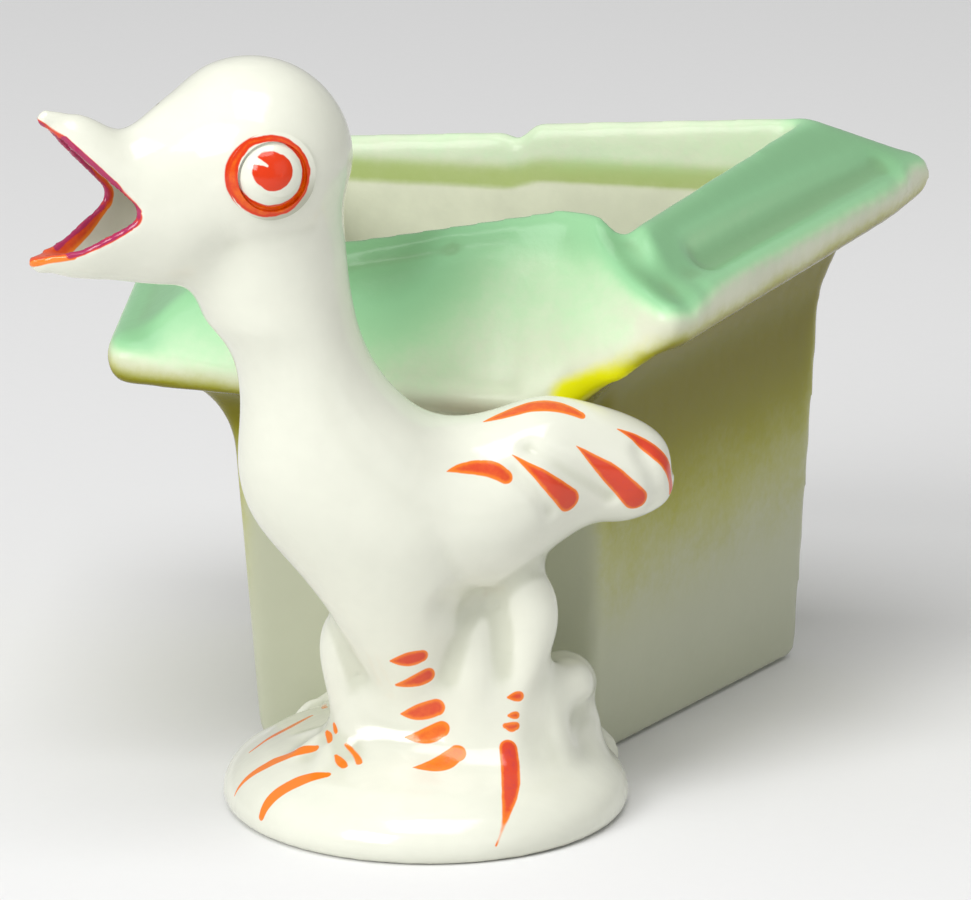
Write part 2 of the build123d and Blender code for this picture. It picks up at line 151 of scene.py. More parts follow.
# tints that the sidebar leaves alone
WALL_PAINTED_SHADE = (0.47, 0.49, 0.36)         # darker cream on the lower outer walls, painted shade
BAND_GREEN_AND_SHADE = (0.40, 0.49, 0.18)         # band inside the rim: sprayed colour, and painted shade under the rim's overhang
THIN_GREEN = (0.50, 0.80, 0.46)
# deepest green, where the spray is thickest and where shade is painted in green
THICK_GREEN_AND_SHADE = (0.18, 0.37, 0.18)
# bright yellow, partly painted light on the underside of the fold
LEMON_AND_LIGHT = (0.76, 0.74, 0.0)
POT_POOL_AND_SHADE = (0.16, 0.22, 0.10)           # glaze gathered in the pot's hollows, and painted shade there
FIGURE_POOL_AND_SHADE = (0.30, 0.33, 0.18)        # the same in the figure's hollows
EYE_PAINTED_SHADE = (0.24, 0.24, 0.14)          # painted shade, low on the bulge of the eyes
PURPLE = (0.38, 0.0, 0.08)              # enamel at its thickest, on the lips
POT_SPECK = (0.07, 0.035, 0.02)
FIGURE_SPECK = (0.2, 0.15, 0.09)

# strokes: three places on a curve, half widths there, depth of the enamel
TAIL_STROKES = [
    ([(5.6, 6.4, 39.7), (8.9, 7.6, 37.1), (11.4, 6.9, 34.6)], (0.05, 0.85, 1.3), 0.85),
    ([(12.5, 5.7, 39.9), (15.6, 5.9, 37.2), (18.8, 5.3, 33.8)], (0.05, 0.95, 1.35), 0.95),
    ([(17.4, 3.6, 40.8), (21.2, 4.0, 38.3), (23.3, 2.6, 33.7)], (0.1, 0.8, 0.55), 1.0),
    ([(-1.5, 7.0, 38.5), (2.0, 7.0, 38.8), (4.7, 7.6, 37.9)], (0.05, 0.85, 0.8), 0.7),
]
NEAR_STROKES = [
    ([(3.8, 1.7, 42.1), (8.6, 1.4, 43.2), (13.6, 3.0, 42.4)], (0.1, 1.1, 0.55), 0.6),
    ([(-6.95, 4.8, 18.4), (-5.3, 5.5, 18.6), (-4.0, 5.7, 18.9)], (0.15, 0.85, 0.75), 0.85),
    ([(-6.2, 4.0, 15.5), (-4.5, 4.8, 16.0), (-3.2, 5.0, 16.6)], (0.15, 0.7, 0.85), 0.8),
    ([(-5.5, 3.2, 12.2), (-3.8, 4.1, 12.5), (-2.1, 4.2, 13.0)], (0.1, 0.85, 0.9), 0.7),
    ([(-5.0, 3.6, 9.6), (-3.0, 4.3, 9.8), (-1.3, 4.1, 10.4)], (0.1, 0.85, 0.85), 0.5),
    ([(-5.3, 7.2, 7.5), (-2.6, 7.6, 7.6), (-0.5, 6.6, 8.0)], (0.05, 1.05, 1.0), 0.42),
    ([(5.1, 5.8, 13.8), (5.7, 6.0, 13.9), (6.2, 6.0, 13.9)], (0.15, 0.45, 0.55), 0.8),
    ([(5.0, 6.3, 12.0), (5.4, 6.4, 12.0), (5.8, 6.4, 12.0)], (0.15, 0.35, 0.4), 0.8),
    ([(4.6, 6.5, 11.0), (5.1, 6.7, 10.9), (5.7, 6.5, 10.9)], (0.3, 0.5, 0.4), 0.8),
    ([(4.6, 7.9, 9.0), (3.8, 12.0, 6.3), (0.9, 17.9, 1.9)], (1.0, 0.95, 0.1), 1.0),
    ([(-11.3, -14.4, 7.3), (-15.0, -11.9, 6.6), (-18.6, -10.5, 5.1)], (0.35, 0.45, 0.15), 0.6),
    ([(-13.7, -1.4, 7.9), (-17.6, -3.6, 6.2), (-21.9, -4.1, 2.6)], (0.45, 0.75, 0.1), 0.2),
    ([(-13.7, 4.1, 6.6), (-17.4, 2.8, 5.3), (-20.6, 3.1, 2.4)], (0.5, 0.95, 0.5), 0.2),
    ([(-9.2, -16.6, 7.3), (-8.9, -18.5, 7.0), (-8.3, -21.0, 6.6)], (0.3, 0.4, 0.2), 0.25),
    ([(-12.25, -2.4, 9.2), (-12.25, -1.5, 9.0), (-12.3, -0.7, 8.75)], (0.2, 0.4, 0.35), 0.2),
    ([(-11.5, -1.8, 10.1), (-11.45, -1.2, 9.7), (-11.35, -0.8, 9.4)], (0.2, 0.35, 0.25), 0.2),
    ([(-12.1, 1.5, 7.8), (-11.9, 2.4, 7.4), (-11.7, 3.5, 7.1)], (0.2, 0.5, 0.4), 0.2),
    ([(-10.6, 0.5, 8.3), (-10.3, 1.9, 7.85), (-10.2, 3.8, 7.4)], (0.2, 0.4, 0.35), 0.2),
]
# the painted lips, on the head: ahead, side (0 paints both sides), rise
LIP_STROKES = [
    ([(22.9, 0.0, 5.8), (21.8, 0.0, 5.2), (20.3, 0.0, 4.0)], (0.45, 0.4, 0.35), 2.4),
    ([(20.5, 0.0, 4.25), (18.3, 0.0, 2.0), (16.2, 0.0, -0.2)], (0.33, 0.3, 0.32), 3.4),
    ([(16.2, 0.0, -0.2), (14.9, 0.0, -1.8), (14.1, 0.0, -3.1)], (0.35, 0.36, 0.42), 3.0),
    ([(14.1, 0.0, -3.1), (13.95, 0.0, -3.8), (14.8, 0.0, -4.7)], (0.42, 0.42, 0.38), 2.7),
    ([(14.8, 0.0, -4.7), (17.4, 0.0, -6.3), (20.4, 0.0, -7.6)], (0.36, 0.34, 0.38), 2.6),
    ([(20.2, 0.0, -7.6), (22.3, 0.0, -7.9), (24.0, 0.0, -8.3)], (0.45, 0.62, 0.65), 0.3),
]
INNER_STROKES = [
    ([(14.4, 0.0, -3.3), (18.0, 0.0, 1.5), (21.0, 0.0, 4.4)], (1.3, 0.9, 0.1), 1.2),
    ([(14.4, 0.0, -3.7), (18.4, 0.0, -6.8), (23.2, 0.0, -7.9)], (1.2, 1.2, 1.6), 0.7),
]
# the painted eye, on the head: ahead, side and rise of the middle, then the radius
RING_OUTSIDE = (1.77, 0.0, 0.35), 4.2
RING_INSIDE = (1.74, 0.0, 0.7), 3.2
PUPIL = (1.81, 0.0, 1.12), 1.93
# white notch at the top of the pupil: partly a gap in the paint, partly a painted highlight
PUPIL_NOTCH_AND_GLINT = [([(2.5, 0.0, 1.85), (3.15, 0.0, 2.15), (3.9, 0.0, 2.5)], (0.12, 0.32, 0.6), 1.0)]
# dark specks, in the part's own frame, laid down as very short strokes
POT_SPECKS = [
    ([(-6.1, -23.8, 52.7), (-6.0, -23.8, 52.7), (-5.9, -23.8, 52.7)], (0.2, 0.35, 0.2), 1.0),
    ([(13.9, -23.6, 54.6), (14.0, -23.6, 54.6), (14.1, -23.6, 54.6)], (0.1, 0.2, 0.1), 1.0),
]
FIGURE_SPECKS = [
    ([(-17.2, -58.0, 76.9), (-17.1, -58.0, 76.9), (-17.0, -58.0, 76.9)], (0.2, 0.3, 0.2), 1.0),
]
EDGE_SOFTNESS = 0.07            # brush edge, bled into the glaze
BRUSH_WANDER = 0.22             # unsteadiness of the brush
LONG_STROKE = 5.0               # longer strokes follow the skin in two halves

# ---------------------------------------------------------------- studio
CAMERA_AZIMUTH = radians(15.5)
CAMERA_HEIGHT_ANGLE = radians(14.8)
CAMERA_ROLL = radians(0.5)
CAMERA_DISTANCE = 945.0
CAMERA_TARGET = (6.23, -20.0, 32.64)
CAMERA_LENS = 333.68
CAMERA_SENSOR = 36.0
# name, place and size in metres, watts
LAMPS = [
    ("key", (-0.42, -0.85, 0.6), 0.5, 12.0),
    ("fill", (0.8, -0.6, 0.4), 0.6, 1.0),
    ("top", (0.05, -0.3, 0.95), 0.6, 8.5),
]
LAMP_AIM = (0.0, -0.02, 0.03)   # what the lamps point at, in metres


# ================================================================ settings
def colour_setting(name, description, default):
    """A colour that the sidebar shows."""
    return bpy.props.FloatVectorProperty(
        name=name, description=description, default=default,
        size=3, min=0.0, max=1.0, subtype="COLOR")


class HolderColours(bpy.types.PropertyGroup):
    """Glazes and enamels"""

    cream: colour_setting("Cream", "Glaze of the pot", (0.72, 0.74, 0.58))
    white: colour_setting("White", "Glaze of the chick", (0.78, 0.79, 0.68))
    green: colour_setting("Green", "Sprayed on the lips", (0.27, 0.55, 0.29))
    yellow: colour_setting("Yellow", "Sprayed under the lips", (0.40, 0.40, 0.02))
    # deepened beyond the thick yellow to paint the shade under the lips
    olive_and_shade: colour_setting("Olive", "Thick yellow, where it is darkest", (0.19, 0.17, 0.0))
    red: colour_setting("Red", "Thick enamel", (0.67, 0.035, 0.0))
    orange: colour_setting("Orange", "Thin enamel", (0.88, 0.20, 0.0))


class HolderStudio(bpy.types.PropertyGroup):
    """Light and floor"""

    lamps: bpy.props.FloatProperty(
        name="Lamps", description="Strength of all lamps together", default=0.56, min=0.0)
    world: bpy.props.FloatProperty(
        name="Sky", description="Light from all sides", default=0.4, min=0.0)
    floor: colour_setting("Floor", "Paper that the holder stands on", (0.8, 0.8, 0.8))


# ================================================================ mesh helpers
def activate(piece):
    """Makes one object the only one selected, and active."""
    bpy.ops.object.select_all(action="DESELECT")
    piece.select_set(True)
    bpy.context.view_layer.objects.active = piece


def add_modifier(piece, kind, **values):
    """Adds a modifier, sets its values and applies it."""
    activate(piece)
    bpy.ops.object.modifier_add(type=kind)
    modifier = piece.modifiers[-1]
    for name, value in values.items():
        setattr(modifier, name, value)
    bpy.ops.object.modifier_apply(modifier=modifier.name)


def join(name, pieces):
    """Joins objects into one."""
    activate(pieces[0])
    for piece in pieces:
        piece.select_set(True)
    bpy.ops.object.join()
    joined = bpy.context.object
    joined.name = name
    joined.data.name = name
    return joined


def clay_copy(name, nodes):
    """One object made of welded copies of CAD nodes."""
    copies = []
    for node in nodes:
        copy = bpy.data.objects.new(node + "_clay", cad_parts[node].data.copy())
        bpy.context.collection.objects.link(copy)
        copies.append(copy)
    piece = join(name, copies)
    piece.data.materials.clear()
    bpy.ops.object.mode_set(mode="EDIT")
    bpy.ops.mesh.select_all(action="SELECT")
    bpy.ops.mesh.remove_doubles(threshold=WELD * MM)
    bpy.ops.object.mode_set(mode="OBJECT")
    return piece


def fuse(piece, grain):
    """Runs the clay together into one skin."""
    add_modifier(piece, "REMESH", mode="VOXEL", voxel_size=grain * MM, adaptivity=0.0)


def soften(piece, factor, rounds):
    """Evens the skin out, as glaze does on fired clay."""
    add_modifier(piece, "SMOOTH", factor=factor, iterations=rounds)


def places(piece):
    """Vertices of a piece in millimetres."""
    values = np.empty(len(piece.data.vertices) * 3)
    piece.data.vertices.foreach_get("co", values)
    return values.reshape(-1, 3) / MM


def normals(piece):
    """Normals at the vertices of a piece."""
    values = np.empty(len(piece.data.vertices) * 3)
    piece.data.vertex_normals.foreach_get("vector", values)
    return values.reshape(-1, 3)


def put_back(piece, points):
    """Moves the vertices of a piece to these places, in millimetres."""
    piece.data.vertices.foreach_set("co", (points * MM).ravel())
    piece.data.update()


def keep_value(piece, name, values):
    """Stores one number a vertex for the material to read."""
    layer = piece.data.attributes.new(name, "FLOAT", "POINT")
    layer.data.foreach_set("value", values.astype(np.float32))


def ramp(values, low, high):
    """Rises smoothly from 0 at low to 1 at high."""
    share = np.clip((values - low) / (high - low), 0.0, 1.0)
    return share * share * (3.0 - 2.0 * share)


def on_chick(along, side, height):
    """Place given on the chick, in the part's own frame."""
    return STAND + along * TAILWARD + side * OUTWARD + height * UPWARD


def on_head(ahead, side, rise):
    """Place given on the head, in the part's own frame."""
    return SKULL + ahead * HEADWARD + side * HEADSIDE + rise * UPWARD


def distance_to(points, path):
    """How far each point is from a path of straight runs."""
    path = np.array(path)
    near = np.full(len(points), np.inf)
    for start, end in zip(path, path[1:]):
        span = end - start
        share = np.clip((points - start) @ span / (span @ span), 0.0, 1.0)
        off = points - start - share[:, None] * span
        near = np.minimum(near, np.linalg.norm(off, axis=1))
    return near


def press(piece, marks):
    """Presses grooves into the skin along paths; a depth below 0 raises a ridge."""
    for path, width, depth in marks:
        points = places(piece)
        fall = np.clip(1.0 - (distance_to(points, path) / width) ** 2, 0.0, 1.0) ** 2
        put_back(piece, points - normals(piece) * (depth * fall)[:, None])


def clay_roll(stops, frame_of=on_chick):
    """A tapering roll of clay through stops of along, side, height and radius."""
    balls = [(Vector(frame_of(*stop[:3])) * MM, stop[3] * MM) for stop in stops]
    roll = []
    for middle, radius in balls:
        bpy.ops.mesh.primitive_uv_sphere_add(
            segments=24, ring_count=14, radius=radius, location=middle)
        roll.append(bpy.context.object)
    for (start, near), (end, far) in zip(balls, balls[1:]):
        span = end - start
        bpy.ops.mesh.primitive_cone_add(
            vertices=24, radius1=near, radius2=far, depth=span.length,
            location=(start + end) / 2, rotation=span.to_track_quat("Z", "Y").to_euler())
        roll.append(bpy.context.object)
    return roll


def neighbours(piece):
    """Function that gives the mean of a value over each vertex's neighbours."""
    count = len(piece.data.vertices)
    ends = np.empty(len(piece.data.edges) * 2, dtype=np.int64)
    piece.data.edges.foreach_get("vertices", ends)
    here, there = ends.reshape(-1, 2).T
    both, across = np.concatenate([here, there]), np.concatenate([there, here])
    share = np.maximum(np.bincount(both, minlength=count), 1)

    def around(values):
        return np.bincount(both, values[across], minlength=count) / share

    return around


def pooling_and_shade(piece):
    """How much glaze gathers at each vertex, and how much painted shade darkens it, from 0 to 1; 0
    is flat or raised.
    """
    around = neighbours(piece)
    points, outward = places(piece), normals(piece)
    even = np.stack([around(points[:, axis]) for axis in range(3)], axis=1)
    hollow = ((even - points) * outward).sum(axis=1)
    for _ in range(POOL_ROUNDS):
        hollow = 0.5 * hollow + 0.5 * around(hollow)
    return np.clip(hollow / FULL_POOL, 0.0, 1.0)


def even_out(piece, share, rounds):
    """Smooths creases away where share is above 0."""
    around = neighbours(piece)
    points = places(piece)
    for _ in range(rounds):
        for axis in range(3):
            values = points[:, axis]
            points[:, axis] += 0.6 * share * (around(values) - values)
    put_back(piece, points)


def blurred(piece, values, rounds):
    """The same values, run into one another over the skin."""
    around = neighbours(piece)
    for _ in range(rounds):
        values = 0.5 * values + 0.5 * around(values)
    return values


def land(piece, strokes):
    """Strokes with their places moved onto the finished skin, the long ones in two halves."""
    landed = []
    for path, half_widths, load in strokes:
        on_stroke = [on_chick(*place) for place in path]
        stops = []
        for share in (0.0, 0.25, 0.5, 0.75, 1.0):
            lean = 2.0 * share - 1.0
            parts = (-(1.0 - share) * lean, 4.0 * share * (1.0 - share), share * lean)
            place = sum(part * stop for part, stop in zip(parts, on_stroke))
            half = max(sum(part * width for part, width in zip(parts, half_widths)), 0.0)
            on_skin = piece.closest_point_on_mesh(Vector(place) * MM)[1]
            place = np.array(on_skin) / MM - STAND
            stops.append(((place @ TAILWARD, place @ OUTWARD, place[2]), half))
        length = np.linalg.norm(on_stroke[2] - on_stroke[0])
        halves = (stops[:3], stops[2:]) if length > LONG_STROKE else (stops[::2],)
        for run in halves:
            landed.append(([stop[0] for stop in run], [stop[1] for stop in run], load))
    return landed


def keep_within(piece, *nodes):
    """Keeps a piece inside the box of the nodes that it stands for, and its foot flat."""
    corners = np.array([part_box(node) for node in nodes]) / MM
    put_back(piece, np.clip(places(piece), corners[:, 0].min(axis=0), corners[:, 1].max(axis=0)))


def finish_piece(piece, material, slot, *nodes):
    """Shades a piece smooth, gives it its glaze, sets what it rides on and hides the CAD parts that
    it stands for.
    """
    activate(piece)
    bpy.ops.object.shade_smooth()
    piece.data.materials.clear()
    piece.data.materials.append(material)
    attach(piece, "root")
    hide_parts(*nodes)


# ================================================================ materials
class Mixer:
    """Lays out shader nodes in one node tree."""

    def __init__(self, tree):
        self.tree = tree

    def feed(self, socket, value):
        if isinstance(value, bpy.types.NodeSocket):
            self.tree.links.new(value, socket)
        else:
            socket.default_value = value

    def add(self, kind, feeds, **settings):
        node = self.tree.nodes.new(kind)
        for name, value in settings.items():
            setattr(node, name, value)
        for socket, value in feeds.items():
            self.feed(node.inputs[socket], value)
        return node

    def math(self, operation, *values, clamp=False):
        feeds = dict(enumerate(values))
        return self.add("ShaderNodeMath", feeds, operation=operation, use_clamp=clamp).outputs[0]

    def vector(self, operation, *values):
        node = self.add("ShaderNodeVectorMath", dict(enumerate(values)), operation=operation)
        single = operation in ("DOT_PRODUCT", "DISTANCE", "LENGTH")
        return node.outputs["Value" if single else "Vector"]

    def scaled(self, vector, share):
        node = self.add("ShaderNodeVectorMath", {"Vector": vector, "Scale": share},
                        operation="SCALE")
        return node.outputs["Vector"]

    def rise(self, value, low, high, start=0.0, end=1.0):
        feeds = {"Value": value, "From Min": low, "From Max": high,
                 "To Min": start, "To Max": end}
        node = self.add("ShaderNodeMapRange", feeds, interpolation_type="SMOOTHSTEP")
        return node.outputs["Result"]

    def mix(self, share, low, high):
        node = self.add("ShaderNodeMix", {0: share}, data_type="RGBA")
        self.feed(node.inputs[6], low)
        self.feed(node.inputs[7], high)
        return node.outputs[2]

    def kept(self, name):
        return self.add("ShaderNodeAttribute", {}, attribute_name=name).outputs["Fac"]

    def noise(self, place, size, detail=2.0, roughness=0.5):
        """Cloudy variation; size is in millimetres."""
        feeds = {"Vector": place, "Scale": 1.0 / (size * MM), "Detail": detail,
                 "Roughness": roughness}
        return self.add("ShaderNodeTexNoise", feeds)


def opaque(colour):
    """Colour with its fourth number."""
    return (*colour, 1.0)


def brush_group():
    """Node group for one brush stroke: a curve through three places, its half width and depth."""
    tree = bpy.data.node_groups.new("brush_stroke", "ShaderNodeTree")
    sockets = [("Cover", "Float"), ("Depth", "Float"), ("Place", "Vector"),
               ("Start", "Vector"), ("Middle", "Vector"), ("End", "Vector"),
               ("Half widths", "Vector"), ("Load", "Float")]
    for name, kind in sockets:
        tree.interface.new_socket(name=name, in_out="INPUT", socket_type="NodeSocket" + kind)
    for name in ("Cover", "Depth"):
        tree.interface.new_socket(name=name, in_out="OUTPUT", socket_type="NodeSocketFloat")
    mixer = Mixer(tree)
    given = tree.nodes.new("NodeGroupInput").outputs
    span = mixer.vector("SUBTRACT", given["End"], given["Start"])
    ahead = mixer.vector("SUBTRACT", given["Place"], given["Start"])
    along = mixer.math("DIVIDE", mixer.vector("DOT_PRODUCT", ahead, span),
                       mixer.vector("DOT_PRODUCT", span, span), clamp=True)
    rest = mixer.math("SUBTRACT", 1.0, along)
    lean = mixer.math("MULTIPLY_ADD", along, 2.0, -1.0)
    first = mixer.math("MULTIPLY", mixer.math("MULTIPLY", rest, lean), -1.0)
    second = mixer.math("MULTIPLY", mixer.math("MULTIPLY", rest, along), 4.0)
    third = mixer.math("MULTIPLY", along, lean)
    middle = mixer.vector(
        "ADD",
        mixer.vector("ADD", mixer.scaled(given["Start"], first),
                     mixer.scaled(given["Middle"], second)),
        mixer.scaled(given["End"], third))
    shares = mixer.add("ShaderNodeCombineXYZ", {0: first, 1: second, 2: third}).outputs[0]
    half = mixer.vector("DOT_PRODUCT", given["Half widths"], shares)
    inside = mixer.math("SUBTRACT", half, mixer.vector("DISTANCE", given["Place"], middle))
    cover = mixer.rise(inside, -EDGE_SOFTNESS, EDGE_SOFTNESS)
    depth = mixer.math("MULTIPLY", mixer.rise(inside, 0.0, 0.55, 0.35, 1.0), given["Load"])
    depth = mixer.math("MULTIPLY", depth, cover)
    leave = tree.nodes.new("NodeGroupOutput").inputs
    mixer.feed(leave["Cover"], mixer.math("MAXIMUM", given["Cover"], cover))
    mixer.feed(leave["Depth"], mixer.math("MAXIMUM", given["Depth"], depth))
    return tree


class Glaze(Mixer):
    """One glaze, from its material's nodes."""

    def __init__(self, name, roughness):
        self.material = bpy.data.materials.new(name)
        self.material.use_nodes = True
        super().__init__(self.material.node_tree)
        self.shader = self.tree.nodes["Principled BSDF"]
        self.shader.inputs["Roughness"].default_value = roughness
        self.place = self.add("ShaderNodeTexCoord", {}).outputs["Object"]

    def held(self, middle, turn):
        """Place in millimetres in a frame with this middle, in millimetres, and turn."""
        feeds = {"Vector": self.place, "Location": Vector(middle) * MM,
                 "Rotation": (0.0, 0.0, turn), "Scale": (MM, MM, MM)}
        return self.add("ShaderNodeMapping", feeds, vector_type="TEXTURE").outputs[0]

    def wander(self, size, reach):
        """How far an unsteady brush strays, in millimetres."""
        cloud = self.noise(self.place, size, 2.0).outputs["Color"]
        return self.scaled(self.vector("SUBTRACT", cloud, (0.5, 0.5, 0.5)), reach)

    def brush(self, strokes, place):
        """Cover and depth of a set of strokes."""
        group = bpy.data.node_groups.get("brush_stroke") or brush_group()
        cover, depth = 0.0, 0.0
        for path, half_widths, load in strokes:
            feeds = {"Cover": cover, "Depth": depth, "Place": place, "Start": path[0],
                     "Middle": path[1], "End": path[2], "Half widths": half_widths,
                     "Load": load}
            node = self.tree.nodes.new("ShaderNodeGroup")
            node.node_tree = group
            for socket, value in feeds.items():
                self.feed(node.inputs[socket], value)
            cover, depth = node.outputs["Cover"], node.outputs["Depth"]
        return cover, depth

    def painted_eye(self, colour, head):
        """A colour with the ring and the pupil of the eye brushed over it."""
        def inside(middle, radius):
            return self.math("SUBTRACT", radius, self.vector("DISTANCE", head, middle))

        tints = colours()
        streak = self.noise(self.place, 1.0, 4.0, 0.65).outputs["Fac"]
        within = self.math("MINIMUM", inside(*RING_OUTSIDE),
                           self.math("MULTIPLY", inside(*RING_INSIDE), -1.0))
        ball = inside(*PUPIL)
        # white notch in the pupil, partly a painted highlight
        notch = self.brush(PUPIL_NOTCH_AND_GLINT, head)[0]
        pupil = self.math("SUBTRACT", self.rise(ball, -EDGE_SOFTNESS, EDGE_SOFTNESS), notch,
                          clamp=True)
        cover = self.math("MAXIMUM", pupil, self.rise(within, -EDGE_SOFTNESS, EDGE_SOFTNESS))
        # the enamel stands thicker at the rims of the strokes
        depth = self.math("MAXIMUM", self.rise(within, 0.0, 0.4, 1.0, 0.62),
                          self.rise(ball, 0.0, 0.5, 0.0, 0.85))
        depth = self.math("ADD", depth, self.math("MULTIPLY_ADD", streak, 0.6, -0.3))
        enamel = self.mix(self.rise(depth, 0.25, 0.85), opaque(tints.orange), opaque(tints.red))
        return self.mix(cover, colour, enamel)

    def skin(self, size, height):
        """Gentle waviness of the fired glaze."""
        wave = self.noise(self.place, size, 3.0, 0.55).outputs["Fac"]
        bump = self.add("ShaderNodeBump", {"Strength": 1.0, "Distance": height * MM,
                                           "Height": wave})
        self.feed(self.shader.inputs["Normal"], bump.outputs["Normal"])

    def coloured(self, colour):
        self.feed(self.shader.inputs["Base Color"], colour)
        return self.material


def colours():
    """Colours set in the sidebar."""
    return bpy.context.scene.holder_colours


def clouded(glaze, colour, darker, size=9.0):
    """A glaze colour that varies a little in thickness."""
    cloud = glaze.noise(glaze.place, size, 4.0, 0.6).outputs["Fac"]
    low = tuple(share * darker for share in colour)
    return glaze.mix(glaze.rise(cloud, 0.3, 0.7), opaque(low), opaque(colour))


def pot_glaze():
    """Cream glaze sprayed green on the lips and yellow below them, with painted shade and painted
    light worked into its colours.
    """
    tints = colours()
    glaze = Glaze("pot_glaze", 0.2)
    glaze.shader.inputs["Specular IOR Level"].default_value = 0.18
    colour = clouded(glaze, tints.cream, 0.9)
    # painted shade: the lower outer walls are darkened
    colour = glaze.mix(glaze.kept("painted_wall_shade"), colour, opaque(WALL_PAINTED_SHADE))
    mottle = glaze.noise(glaze.place, 1.1, 3.0, 0.65).outputs["Fac"]
    drift = glaze.noise(glaze.place, 7.0, 2.0).outputs["Fac"]
    speckle = glaze.math("MULTIPLY_ADD", mottle, 0.22, -0.11)
    cloud = glaze.math("MULTIPLY_ADD", drift, 0.3, -0.15)
    unevenness = glaze.math("ADD", speckle, cloud)

    def spray(name, low, high):
        """Cover of a sprayed colour, uneven where it is thin."""
        amount = glaze.kept(name)
        loose = glaze.math("MULTIPLY", unevenness, glaze.rise(amount, 0.02, 0.3))
        return glaze.rise(glaze.math("ADD", amount, loose), low, high)

    # band inside the rim, partly sprayed colour, partly painted shade
    colour = glaze.mix(spray("inner_band_and_shade", 0.05, 1.1), colour, opaque(BAND_GREEN_AND_SHADE))
    green = glaze.mix(glaze.rise(glaze.kept("green_spray"), 0.2, 1.0),
                      opaque(THIN_GREEN), opaque(tints.green))
    # deepest green where the spray is thickest, also painted shade in the valley and on the apron's
    # left
    green = glaze.mix(glaze.rise(glaze.kept("green_spray"), 0.85, 1.2), green,
                      opaque(THICK_GREEN_AND_SHADE))
    colour = glaze.mix(spray("green_spray", 0.0, 0.75), colour, green)
    # yellow under the lips, deepening to olive where it is thickest, which is also painted shade
    yellow = glaze.mix(glaze.rise(glaze.kept("yellow_spray_and_shade"), 0.35, 1.0),
                       opaque(tints.yellow), opaque(tints.olive_and_shade))
    colour = glaze.mix(spray("yellow_spray_and_shade", 0.0, 0.8), colour, yellow)
    # bright yellow along the fold, partly painted light
    colour = glaze.mix(spray("lemon_spray_and_light", 0.1, 0.9), colour, opaque(LEMON_AND_LIGHT))
    # glaze gathered in the hollows, and painted shade there
    pooled_and_shaded = glaze.rise(glaze.kept("pooling_and_shade"), 0.0, 1.0, 0.0, 0.3)
    colour = glaze.mix(pooled_and_shaded, colour, opaque(POT_POOL_AND_SHADE))
    specks = glaze.brush(POT_SPECKS, glaze.held((0, 0, 0), 0.0))[0]
    colour = glaze.mix(specks, colour, opaque(POT_SPECK))
    glaze.skin(2.2, 0.05)
    return glaze.coloured(colour)


def figure_glaze(figure):
    """White glaze with the red brushwork on it, darker in its hollows, partly as painted shade."""
    tints = colours()
    glaze = Glaze("figure_glaze", 0.13)
    colour = clouded(glaze, tints.white, 0.94, 12.0)
    # glaze gathered in the hollows, and painted shade there
    pooled_and_shaded = glaze.rise(glaze.kept("pooling_and_shade"), 0.0, 1.0, 0.0, 0.28)
    colour = glaze.mix(pooled_and_shaded, colour, opaque(FIGURE_POOL_AND_SHADE))

    wander = glaze.wander(2.4, BRUSH_WANDER)
    body = glaze.vector("ADD", glaze.held(STAND, TURN), wander)
    body = glaze.vector("MULTIPLY", body, (1.0, -1.0, 1.0))
    parts = glaze.add("ShaderNodeSeparateXYZ", {0: body}).outputs
    side = glaze.math("ABSOLUTE", parts[1])
    both = glaze.add("ShaderNodeCombineXYZ", {0: parts[0], 1: side, 2: parts[2]})

    head = glaze.vector("ADD", glaze.held(SKULL, HEAD_TURN), wander)
    head = glaze.vector("MULTIPLY", head, (-1.0, 0.0, 1.0))
    cover, depth = glaze.brush(land(figure, TAIL_STROKES), both.outputs[0])
    for strokes, place in ((land(figure, NEAR_STROKES), body), (LIP_STROKES, head)):
        more, deeper = glaze.brush(strokes, place)
        cover = glaze.math("MAXIMUM", cover, more)
        depth = glaze.math("MAXIMUM", depth, deeper)
    more, deeper = glaze.brush(INNER_STROKES, head)
    inside = glaze.rise(glaze.kept("mouth"), 0.35, 0.65)
    cover = glaze.math("MAXIMUM", cover, glaze.math("MULTIPLY", more, inside))
    depth = glaze.math("MAXIMUM", depth, glaze.math("MULTIPLY", deeper, inside))
    streak = glaze.noise(glaze.place, 0.8, 3.0, 0.6).outputs["Fac"]
    depth = glaze.math("ADD", depth, glaze.math("MULTIPLY_ADD", streak, 0.4, -0.2))
    enamel = glaze.mix(glaze.rise(depth, 0.25, 0.85), opaque(tints.orange), opaque(tints.red))
    enamel = glaze.mix(glaze.rise(depth, 0.95, 1.3), enamel, opaque(PURPLE))
    colour = glaze.mix(glaze.math("MULTIPLY", cover, 0.97), colour, enamel)
    colour = glaze.painted_eye(colour, head)
    specks = glaze.brush(FIGURE_SPECKS, glaze.held((0, 0, 0), 0.0))[0]
    colour = glaze.mix(glaze.math("MULTIPLY", specks, 0.7), colour, opaque(FIGURE_SPECK))
    glaze.skin(3.0, 0.05)
    return glaze.coloured(colour)


